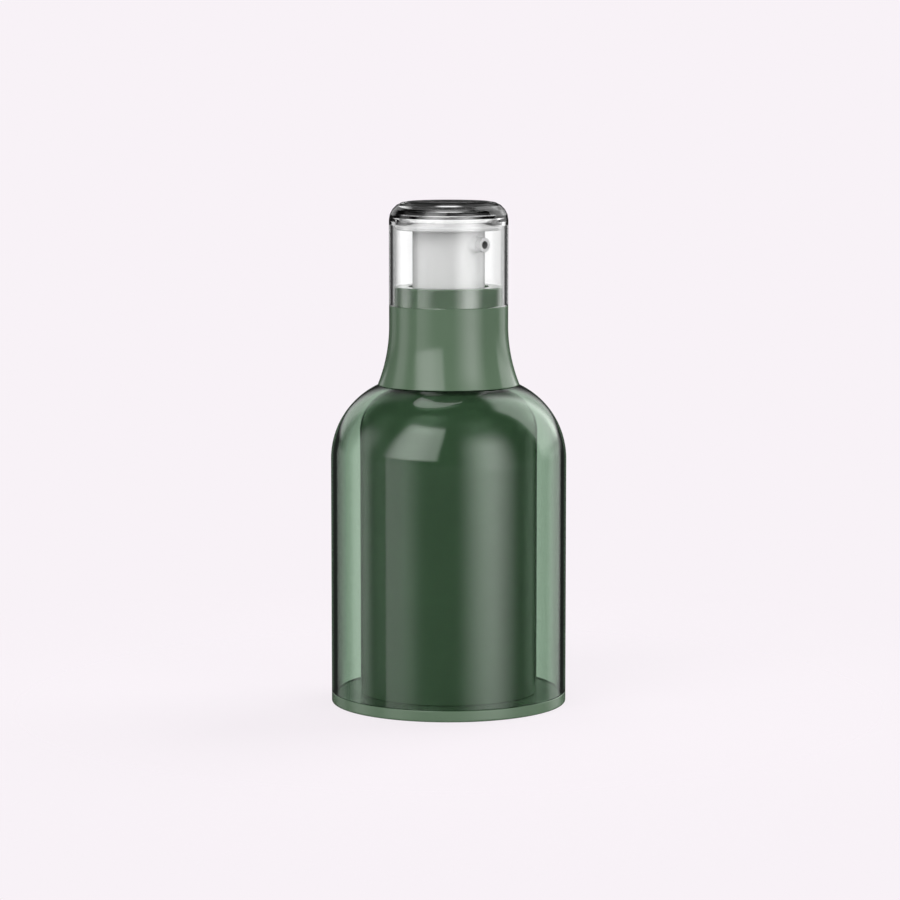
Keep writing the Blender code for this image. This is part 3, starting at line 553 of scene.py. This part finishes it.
def moulded(name, colour, gloss, spread, edge=0.5, rubbed=None):
    """Opaque moulded plastic. rubbed gives two heights in millimetres that another part slides on.

    Roughness is gloss plus or minus spread in clouds, plus WORN_ROUGHER on worn edges and
    SCUFFS_ROUGHER in the upright scuffs of a sliding part. Edges get paler by the share edge.
    """
    base = linear(colour)
    made, tree, shader = principled(name, {"IOR": 1.49})
    tone = blend(tree, clouds(tree, PIGMENT), shade(base, 0.95), shade(base, 1.05))
    pointed = add_node(tree, "ShaderNodeNewGeometry").outputs["Pointiness"]
    worn = calc(tree, "MULTIPLY", ramp(tree, pointed, 0.52, 0.6), clouds(tree, WEAR, 3.0))
    tone = blend(tree, calc(tree, "MULTIPLY", worn, edge), tone, shade(base, WORN_PALER))
    rough = ramp(tree, clouds(tree, GLOSS, 3.0), 0.3, 0.7, gloss - spread, gloss + spread)
    rough = calc(tree, "MULTIPLY_ADD", worn, WORN_ROUGHER, rough)
    if rubbed is not None:
        place = add_node(tree, "ShaderNodeTexCoord").outputs["Object"]
        z = add_node(tree, "ShaderNodeSeparateXYZ", None, {"Vector": place}).outputs["Z"]
        low, high = rubbed[0] * MM, rubbed[1] * MM
        above = ramp(tree, z, low, low + 0.5 * MM)
        below = ramp(tree, z, high, high + 0.3 * MM, 1.0, 0.0)
        scuffs = ramp(tree, clouds(tree, SCUFF, 2.0, UPRIGHT), 0.5, 0.7)
        scuffed = calc(tree, "MULTIPLY", calc(tree, "MULTIPLY", above, below), scuffs)
        rough = calc(tree, "MULTIPLY_ADD", scuffed, SCUFFS_ROUGHER, rough)
    tree.links.new(tone, shader.inputs["Base Color"])
    tree.links.new(rough, shader.inputs["Roughness"])
    waves(tree, shader, PEEL, PEEL_HEIGHT)
    return made


# The pigmented parts come from a polished mould, so their clouds of gloss are small.
GREEN = moulded("green_polypropylene", "#607660", 0.18, 0.02)
# The overcap slides on the ring above the collar and leaves faint upright scuffs there.
COLLAR_GREEN = moulded("green_polypropylene_collar", "#607660", 0.12, 0.02, rubbed=(82.4, 85.8))
# White pigment hides wear better than green does, so the edges only lose gloss.
WHITE = moulded("white_polypropylene", "#F4F4F4", 0.18, 0.03, edge=0.0)
# Hardly any light comes back out of the spout's narrow bore, so it is painted darker inside.
BORE_SHADE = moulded("white_polypropylene_bore_painted_shade", "#8A8A8A", 0.4, 0.05, edge=0.0)
print("opaque plastics:", [m.name for m in (GREEN, COLLAR_GREEN, WHITE, BORE_SHADE)])

# %% [markdown]
# ## Clear plastics
# The shell is a thick injection-moulded copolyester tinted in the mass: the colour comes from how
# far light travels in it, so it is a volume and not a surface colour, and the rim turns almost
# black where the eye looks along the wall. The overcap is clear styrene acrylonitrile from
# a polished mould. Both carry the marks of handling: the shell a faint haze in patches, the cap
# the edges of finger smudges. Real clear walls let lamps through with hardly any shadow, which
# a path tracer would need very many samples to find, so shadow rays pass as a dimmed share.


# %% Tinted shell and clear cap
TINT, TINT_DENSITY, SHELL_SHARE, CAP_SHARE = linear("#3F9955"), 480.0, 0.74, 0.6
HAZE, COOLING_WAVES, WAVE_HEIGHT, SMUDGES = 9.0, 9.0, 0.003, 7.0


def let_lamps_in(tree, shader, share):
    """Let a share of the lamps' light straight through: a clear wall casts hardly any shadow."""
    clear = add_node(tree, "ShaderNodeBsdfTransparent", None, {"Color": shade(PURE, share)})
    shadow = add_node(tree, "ShaderNodeLightPath").outputs["Is Shadow Ray"]
    lit = add_node(tree, "ShaderNodeMixShader", None,
                   {0: shadow, 1: shader.outputs[0], 2: clear.outputs[0]})
    tree.links.new(lit.outputs[0], tree.nodes["Material Output"].inputs["Surface"])


def shell_material():
    """Tinted copolyester. Its index of 1.57 is drawn as 1.5, which gives the photograph's rims."""
    inputs = {"Base Color": PURE, "IOR": 1.5, "Transmission Weight": 1.0}
    made, tree, shader = principled("tinted_copolyester", inputs)
    haze = ramp(tree, clouds(tree, HAZE, 3.0), 0.35, 0.7, 0.005, 0.03)
    tree.links.new(haze, shader.inputs["Roughness"])
    # A thick wall cools unevenly and keeps slow waves, which bend the reflections very slightly.
    waves(tree, shader, COOLING_WAVES, WAVE_HEIGHT)
    dye = {"Color": TINT, "Density": TINT_DENSITY}
    tint = add_node(tree, "ShaderNodeVolumeAbsorption", None, dye)
    tree.links.new(tint.outputs[0], tree.nodes["Material Output"].inputs["Volume"])
    let_lamps_in(tree, shader, SHELL_SHARE)
    return made


def cap_material():
    """Clear styrene acrylonitrile, smooth between the smudges. Its index, 1.57, is drawn as 1.49."""
    made, tree, shader = principled("clear_styrene", {"IOR": 1.49, "Transmission Weight": 1.0})
    smudge = ramp(tree, clouds(tree, SMUDGES, 4.0), 0.55, 0.75)
    tree.links.new(calc(tree, "MULTIPLY", smudge, 0.02), shader.inputs["Roughness"])
    tree.links.new(blend(tree, smudge, PURE, shade(PURE, 0.98)), shader.inputs["Base Color"])
    let_lamps_in(tree, shader, CAP_SHARE)
    return made


SHELL = shell_material()
CLEAR = cap_material()
print("clear plastics:", SHELL.name, CLEAR.name)

# %% [markdown]
# ## Outer shell
# The shell is the bottle's thick see-through jacket: a straight tube that stands on the base and
# closes round the neck in a shoulder of 16.8 mm radius. One surface with a Solidify modifier
# would do for an opaque shell, but here the wall is what makes the dark rims. So outside and
# inside are both drawn, as two arcs about one centre, and the wall is the same all over.

# %% Outer shell
BODY_R, SHELL_WALL, SHELL_ARC_R, SHELL_ARC_Z, SHELL_R = 24.2, 1.2, 7.4, 50.5, 16.8
FOOT_Z, NECK_R, GAP = 2.32, 9.4, 0.3


def shoulder(centre_r, centre_z, radius, inner_r, steps=80):
    """A quarter circle from the upright side up to where it meets the inner radius."""
    across = max(inner_r - centre_r, 0.0)
    return arc((centre_r, centre_z), radius, 0.0, math.degrees(math.acos(across / radius)), steps)


shell_rows = [
    (BODY_R, FOOT_Z, 0.12),
    shoulder(SHELL_ARC_R, SHELL_ARC_Z, SHELL_R, NECK_R + GAP),
    shoulder(SHELL_ARC_R, SHELL_ARC_Z, SHELL_R - SHELL_WALL, NECK_R + GAP)[::-1],
    (BODY_R - SHELL_WALL, FOOT_Z, 0.12),
]
turned("shell_fine", shell_rows, SHELL, "bottle", "green_clear_plastic", ["outer_shell"])

# %% [markdown]
# ## Inner bottle
# The inner bottle is the green cylinder seen through the shell. It holds the product, and it is
# open at its foot, where the base plugs it. Its shoulder turns more tightly than the shell's and
# almost touches it at the top, where a ledge carries the shell. The neck above has a bead that
# the pump's ferrule clips under. A wall of one loop, outside up and inside down, is simpler here
# than a solid bottle that is hollowed out.

# %% Inner bottle
BOTTLE_R, BOTTLE_WALL, BOTTLE_ARC_R, BOTTLE_ARC_Z, BOTTLE_DOME = 18.2, 1.2, 9.2, 56.2, 9.0
NECK_TOP, LEDGE_R, NECK_IN_R = 76.0, 11.0, 8.0
BEAD, BEAD_FOOT, BEAD_HEAD = 0.35, 72.5, 74.0
ledge_z = SHELL_ARC_Z + math.sqrt((SHELL_R - SHELL_WALL) ** 2 - (LEDGE_R - SHELL_ARC_R) ** 2) - GAP
bottle_rows = [
    (BOTTLE_R, FOOT_Z, 0.15),
    shoulder(BOTTLE_ARC_R, BOTTLE_ARC_Z, BOTTLE_DOME, LEDGE_R),
    (LEDGE_R, ledge_z, 0.1),
    (NECK_R, ledge_z, 0.1),
    (NECK_R, BEAD_FOOT, 0.1),
    (NECK_R + BEAD, BEAD_FOOT + BEAD, 0.1),
    (NECK_R + BEAD, BEAD_HEAD - BEAD, 0.1),
    (NECK_R, BEAD_HEAD, 0.1),
    (NECK_R, NECK_TOP, 0.15),
    (NECK_IN_R, NECK_TOP, 0.15),
    (NECK_IN_R, BOTTLE_ARC_Z + BOTTLE_DOME - BOTTLE_WALL, 0.0),
    shoulder(BOTTLE_ARC_R, BOTTLE_ARC_Z, BOTTLE_DOME - BOTTLE_WALL, NECK_IN_R)[::-1],
    (BOTTLE_R - BOTTLE_WALL, FOOT_Z, 0.15),
]
turned("bottle_fine", bottle_rows, GREEN, "bottle", "green_plastic", ["inner_bottle"])

# %% [markdown]
# ## Base
# The base is a moulded disc as wide as the shell. It stands on a ring, its plug closes the inner
# bottle, and a hole in the middle lets air in behind the follower piston. One loop of an outline
# gives all of it, with the widest fillet at the foot, where the bottle slides on a shelf.

# %% Base
VENT_R, RECESS, FOOT_IN_R, DISC_TOP = 3.2, 0.8, 21.2, 2.3
PLUG_R, PLUG_IN_R, PLUG_TOP = 16.7, 15.5, 5.3
base_rows = [
    (VENT_R, RECESS, 0.1), (FOOT_IN_R, RECESS, 0.15), (FOOT_IN_R, 0.0, 0.15), (BODY_R, 0.0, 0.4),
    (BODY_R, DISC_TOP, 0.15), (PLUG_R, DISC_TOP, 0.1), (PLUG_R, PLUG_TOP, 0.15),
    (PLUG_IN_R, PLUG_TOP, 0.15), (PLUG_IN_R, DISC_TOP, 0.1), (VENT_R, DISC_TOP, 0.1),
]
turned("base_fine", base_rows, GREEN, "bottle", "green_plastic", ["base"])

# %% [markdown]
# ## Collar
# The collar hides the neck and the pump. It sweeps out hollow on to the shell's shoulder, and its
# upper part steps in to the ring that the overcap is pushed on. The sweep is an arc that starts
# upright, so that it runs into the straight part with no kink, and its foot stops a hair above the
# shell, which gives the dark line between them.

# %% Collar
COLLAR_R, COLLAR_IN_R, FLARE_TOP, STEP_Z = 12.2, 10.95, 78.0, 82.1
FLARE_R, FLARE_IN_R, FOOT_LIFT = 14.6, 13.35, 0.02
RING_R, RING_IN_R, RING_TOP, CLIP_Z = 11.1, 9.7, 86.0, 80.1
LIP_R, LIP_Z = 8.2, 84.8


def flare(foot_r, foot_z, top_r, top_z, steps=32):
    """Hollow sweep that starts upright at the top: radius is (height^2 + width^2) / (2 width)."""
    height, width = top_z - foot_z, foot_r - top_r
    radius = (height ** 2 + width ** 2) / (2.0 * width)
    sweep = math.degrees(math.asin(height / radius))
    return arc((top_r + radius, top_z), radius, 180.0 + sweep, 180.0, steps)


def on_shell(r):
    """Height of the shell's shoulder at a radius, plus the hair that the collar stands above it."""
    return SHELL_ARC_Z + math.sqrt((SHELL_R + FOOT_LIFT) ** 2 - (r - SHELL_ARC_R) ** 2)


outside = flare(FLARE_R, on_shell(FLARE_R), COLLAR_R, FLARE_TOP)
outside[0, 2] = 0.12
inside = flare(FLARE_IN_R, on_shell(FLARE_IN_R), COLLAR_IN_R, FLARE_TOP)[::-1]
inside[-1, 2] = 0.12
collar_rows = [
    outside, (COLLAR_R, STEP_Z, 0.12), (RING_R, STEP_Z, 0.08), (RING_R, RING_TOP, 0.3),
    (LIP_R, RING_TOP, 0.2), (LIP_R, LIP_Z, 0.1), (RING_IN_R, LIP_Z, 0.1),
    (RING_IN_R, CLIP_Z, 0.1), (COLLAR_IN_R, CLIP_Z, 0.1), inside,
]
turned("collar_fine", collar_rows, COLLAR_GREEN, "bottle", "green_plastic", ["collar"])

# %% [markdown]
# ## Overcap
# The overcap is one clear moulding with a thin wall and a top almost three times as thick. The
# eye never sees its ceiling as such. It sees light that went in at the wall, turned back under the
# top and came out again, in dark and pale bands. Only the true outline gives those, so the
# fillets outside and inside are the ones that gave the photograph's bands best.

# %% Overcap
CAP_R, CAP_IN_R, CAP_FOOT, CAP_TOP, CEILING = 12.2, 11.4, 82.12, 103.3, 101.0
CAP_CORNER, CEILING_CORNER = 3.8, 2.4
cap_rows = [
    (0.0, CEILING, 0.0), (CAP_IN_R, CEILING, CEILING_CORNER), (CAP_IN_R, CAP_FOOT, 0.1),
    (CAP_R, CAP_FOOT, 0.12), (CAP_R, CAP_TOP, CAP_CORNER), (0.0, CAP_TOP, 0.0),
]
turned("overcap_fine", cap_rows, CLEAR, "overcap", "clear_plastic", ["overcap"])

# %% [markdown]
# ## Push button
# The head is a wide shallow dome over a narrower skirt, with a hub inside that grips the stem.
# A sphere pressed flat would be steepest at its edge. This dome is one arc through the middle and
# the edge instead, and the edge has a small flat side, as a moulded button has where its mould
# parts.

# %% Head and skirt
HEAD_R, HEAD_Z, HEAD_EDGE, HEAD_RISE = 11.0, 97.6, 0.7, 2.0
SKIRT_R, SKIRT_IN_R, SKIRT_Z, ROOF_Z = 7.4, 6.4, 84.8, 98.2
HUB_R, HUB_Z, SOCKET_R, SOCKET_TOP = 3.0, 86.1, 1.95, 93.0
dome_r = (HEAD_R ** 2 + HEAD_RISE ** 2) / (2.0 * HEAD_RISE)
half_dome = math.degrees(math.asin(HEAD_R / dome_r))
dome = arc((0.0, HEAD_Z + HEAD_EDGE + HEAD_RISE - dome_r), dome_r, 90.0 - half_dome, 90.0, 32)
dome[0, 2] = 0.2
dome[-1, 0] = 0.0
head_rows = [
    (0.0, SOCKET_TOP, 0.0), (SOCKET_R, SOCKET_TOP, 0.1), (SOCKET_R, HUB_Z, 0.1),
    (HUB_R, HUB_Z, 0.1), (HUB_R, ROOF_Z, 0.1), (SKIRT_IN_R, ROOF_Z, 0.1),
    (SKIRT_IN_R, SKIRT_Z, 0.15), (SKIRT_R, SKIRT_Z, 0.15), (SKIRT_R, HEAD_Z, 0.3),
    (HEAD_R, HEAD_Z, 0.25), dome,
]
head = turned_mesh(rounded(head_rows), 192)
print("dome radius %.1f mm" % dome_r)

# %% [markdown]
# ## Spout
# The spout stands out of the skirt between the front and the right. A Boolean would leave a hard
# crease where the boss meets the skirt. The boss is therefore a surface of its own whose root
# follows the skirt's cylinder and turns outwards in a fillet, as the mould's does. A duct inside
# the button leads from the stem's socket to the boss.

# %% Spout
SPOUT_Z, SPOUT_TURN, SPOUT_REACH, TIP_R, TIP_L = 94.8, -45.0, 10.2, 1.5, 1.1
BOSS_R, BOSS_FILLET, BOSS_HOLE_R, BOSS_STRAIGHT, BOSS_SINK, TIP_GAP = 1.6, 0.5, 1.0, 0.5, 0.7, 0.15
BOSS_END = SPOUT_REACH - TIP_L - TIP_GAP
along = np.array([math.cos(math.radians(SPOUT_TURN)), math.sin(math.radians(SPOUT_TURN)), 0.0])
upwards = np.array([0.0, 0.0, 1.0])
across = np.cross(upwards, along)


def aim(points, from_axis=0.0):
    """Lay a surface turned round Z along the spout: x goes across, y upwards and z along it."""
    place = (from_axis * along + SPOUT_Z * upwards) * MM
    return points @ np.stack([across, upwards, along]) + place


def boss(turns=96):
    """Loop of rows (radius, reach, share) round the spout's axis.

    Each point reaches out by reach + share * (sqrt(skirt^2 - side^2) - skirt), where side is how
    far it lies to the side, so the root with share 1 lies on the skirt and the end is flat.
    """
    t = np.linspace(0.0, math.pi / 2.0, 9)
    root_r = BOSS_R + BOSS_FILLET * (1.0 - np.sin(t))
    root_reach = SKIRT_R + BOSS_FILLET * (1.0 - np.cos(t))
    root = np.column_stack([root_r, root_reach, np.ones(len(t))])
    end = rounded([
        (TIP_R, BOSS_END - BOSS_STRAIGHT, 0.0), (TIP_R, BOSS_END, 0.15),
        (BOSS_HOLE_R, BOSS_END, 0.1), (BOSS_HOLE_R, BOSS_END - BOSS_STRAIGHT, 0.0),
    ])
    end = np.column_stack([end, np.zeros(len(end))])
    start = [(BOSS_R + BOSS_FILLET, SKIRT_R - BOSS_SINK, 1.0)]
    hole = [(BOSS_HOLE_R, SKIRT_R - BOSS_SINK, 0.0)]
    rows = np.vstack([start, root, end, hole])
    u = np.arange(turns) * math.tau / turns
    side = rows[:, :1] * np.cos(u)
    high = rows[:, :1] * np.sin(u)
    reach = rows[:, 1:2] + rows[:, 2:3] * (np.sqrt(SKIRT_R ** 2 - side ** 2) - SKIRT_R)
    points = np.stack([side, high, reach], -1).reshape(-1, 3) * MM
    return aim(points), grid_faces(len(rows), turns, True).tolist()


DUCT_R, DUCT_FROM, DUCT_TO = 1.9, 2.5, 6.9
duct_rows = [
    (0.0, DUCT_FROM, 0.0), (DUCT_R, DUCT_FROM, 0.1), (DUCT_R, DUCT_TO, 0.1), (0.0, DUCT_TO, 0.0),
]
duct = turned_mesh(rounded(duct_rows), 48)
points, faces = joined(head, boss(), (aim(duct[0]), duct[1]))
new_piece("actuator_fine", points, faces, WHITE, "actuator", "white_plastic", ["actuator"])

# %% [markdown]
# ## Spout tip
# The tip is a small insert pressed into the boss, with a round mouth. It is the only hole of the
# bottle that faces the viewer, and it reads as a dark dot. A black disc would do from the front
# alone. Here the outline is a loop with a deep bore, whose faces get a darker grey: painted shade,
# because light hardly comes back out of the bore.

# %% Spout tip
MOUTH_R, MOUTH_FLOOR, MOUTH_FILLET, ORIFICE_R = 0.78, -1.2, 0.12, 0.3
SHANK_R, SHANK_END = 0.95, -2.4
tip_rows = [
    (ORIFICE_R, SHANK_END, 0.05), (SHANK_R, SHANK_END, 0.1), (SHANK_R, 0.0, 0.05),
    (TIP_R, 0.0, 0.1), (TIP_R, TIP_L, 0.22), (MOUTH_R, TIP_L, MOUTH_FILLET),
    (MOUTH_R, MOUTH_FLOOR, 0.05), (ORIFICE_R, MOUTH_FLOOR, 0.05),
]
tip_points, tip_faces = turned_mesh(rounded(tip_rows), 96)
tip = new_piece("spout_tip_fine", aim(tip_points, SPOUT_REACH - TIP_L), tip_faces, WHITE,
                "actuator", "white_plastic", ["nozzle_insert"])
# The faces in the bore get the second material, a grey of painted shade.
tip.data.materials.append(BORE_SHADE)
middles = tip_points[np.array(tip_faces)].mean(axis=1) / MM
from_axis = np.hypot(middles[:, 0], middles[:, 1])
# A hair more than the mouth's radius, and a hair below the end of its fillet.
in_bore = (from_axis < MOUTH_R + 0.02) & (middles[:, 2] < TIP_L - MOUTH_FILLET - 0.01)
tip.data.polygons.foreach_set("material_index", in_bore.astype(np.int32))
print("faces in the bore:", int(in_bore.sum()))

# %% [markdown]
# ## Pieces inside the pump
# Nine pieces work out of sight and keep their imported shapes: the ferrule, the barrel and its
# guide, the stem and its rod, the two pistons, the gasket and the ball. They only get real
# finishes. The pump's own parts are uncoloured polypropylene, milky and a little warm. The seals
# are soft polyethylene, which is duller. The spring and the ball are stainless steel: the wire
# keeps the lines of the die that it was drawn through, drawn here coarser than they are, and the
# ball is ground and polished.


# %% Finishes of the inner pieces
def steel(name, gloss, size, height, stretch):
    """Stainless steel: a metal, so its colour is its reflection. Grain runs along the stretch."""
    made, tree, shader = principled(name, {"Metallic": 1.0})
    grain = clouds(tree, size, 3.0, stretch)
    tone = blend(tree, grain, linear("#B4B0AA"), linear("#CFCBC4"))
    rough = ramp(tree, grain, 0.3, 0.7, gloss - 0.05, gloss + 0.08)
    tree.links.new(tone, shader.inputs["Base Color"])
    tree.links.new(rough, shader.inputs["Roughness"])
    bump = add_node(tree, "ShaderNodeBump", None, {"Distance": height * MM, "Height": grain})
    tree.links.new(bump.outputs[0], shader.inputs["Normal"])
    return made


NATURAL = moulded("natural_polypropylene", "#D8D7CD", 0.34, 0.05, edge=0.2)
SOFT = moulded("soft_polyethylene", "#CDCCC4", 0.5, 0.06, edge=0.1)
# The spring's wire lies almost flat in each turn, so grain stretched flat runs along the wire.
WIRE = steel("stainless_wire", 0.3, 0.12, 0.002, (0.2, 0.2, 1.0))
BALL = steel("stainless_ball", 0.12, 0.4, 0.0005, (1.0, 1.0, 1.0))
INNER = {
    "snap_ferrule": NATURAL, "pump_housing": NATURAL, "housing_cap": NATURAL, "pump_stem": NATURAL,
    "piston_rod": NATURAL, "follower_piston": NATURAL, "neck_gasket": SOFT, "dosing_piston": SOFT,
    "inlet_ball": BALL,
}
for name, paint in INNER.items():
    for place in NODES[name].material_slots:
        place.material = paint
print("inner pieces finished:", len(INNER))

# %% [markdown]
# ## Return spring
# The spring that lifts the button again is wound from stainless wire. Its first and last turns
# are closed, so that it stands flat on the stem guide and under the button's ribs. The packed
# spring can't get shorter, and the ribs would cut into it, so this piece stands for it. A round
# wire is a circle carried along a helix, which needs no curve object and keeps its faces even.


# %% Return spring
WIRE_R, COIL_R, SPRING_FOOT, SPRING_TOP, STROKE = 0.3, 3.75, 81.6, 92.6, 4.5
SPRING_TURNS, CLOSED_PITCH, CLOSED_TO, OPEN_FROM = 7, 0.62, 0.8, 1.4


def coil(steps=48, around=16):
    """A circle of radius w carried along a helix of radius c, across the wire's own direction.

    The centre is (c cos u, c sin u, z). Its height z grows by CLOSED_PITCH in each turn, plus
    the room that is left, which is shared out between the two closed ends only. A point on the
    wire is centre + w (cos a * outwards + sin a * (direction x outwards)).
    """
    t = np.linspace(0.0, SPRING_TURNS, SPRING_TURNS * steps + 1)
    u = math.tau * t
    from_end = np.minimum(t, SPRING_TURNS - t)
    share = np.interp(from_end, [CLOSED_TO, OPEN_FROM], [0.0, 1.0])
    low, high = SPRING_FOOT + WIRE_R, SPRING_TOP - WIRE_R
    room = high - low - CLOSED_PITCH * SPRING_TURNS
    z = low + CLOSED_PITCH * t + room * np.cumsum(share) / share.sum()
    centre = np.column_stack([COIL_R * np.cos(u), COIL_R * np.sin(u), z])
    outwards = np.column_stack([np.cos(u), np.sin(u), np.zeros_like(u)])
    along = np.gradient(centre, axis=0)
    along /= np.linalg.norm(along, axis=1)[:, None]
    across = np.cross(along, outwards)
    a = (np.arange(around) * math.tau / around)[None, :, None]
    ring = np.cos(a) * outwards[:, None, :] + np.sin(a) * across[:, None, :]
    points = (centre[:, None, :] + WIRE_R * ring).reshape(-1, 3) * MM
    faces = grid_faces(len(t), around, False).tolist()
    end = (len(t) - 1) * around
    faces += [list(range(around))[::-1], list(range(end, end + around))]
    print("least pitch %.3f mm" % (z[steps:] - z[:-steps]).min())
    return points, faces


spring = new_piece("return_spring_fine", *coil(), WIRE, "bottle", "spring_steel", ["return_spring"])
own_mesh(spring)

# %% [markdown]
# ## End
# The plain Standard transform keeps the colours as they were matched.

# %% Finish
SCENE.view_settings.view_transform = "Standard"
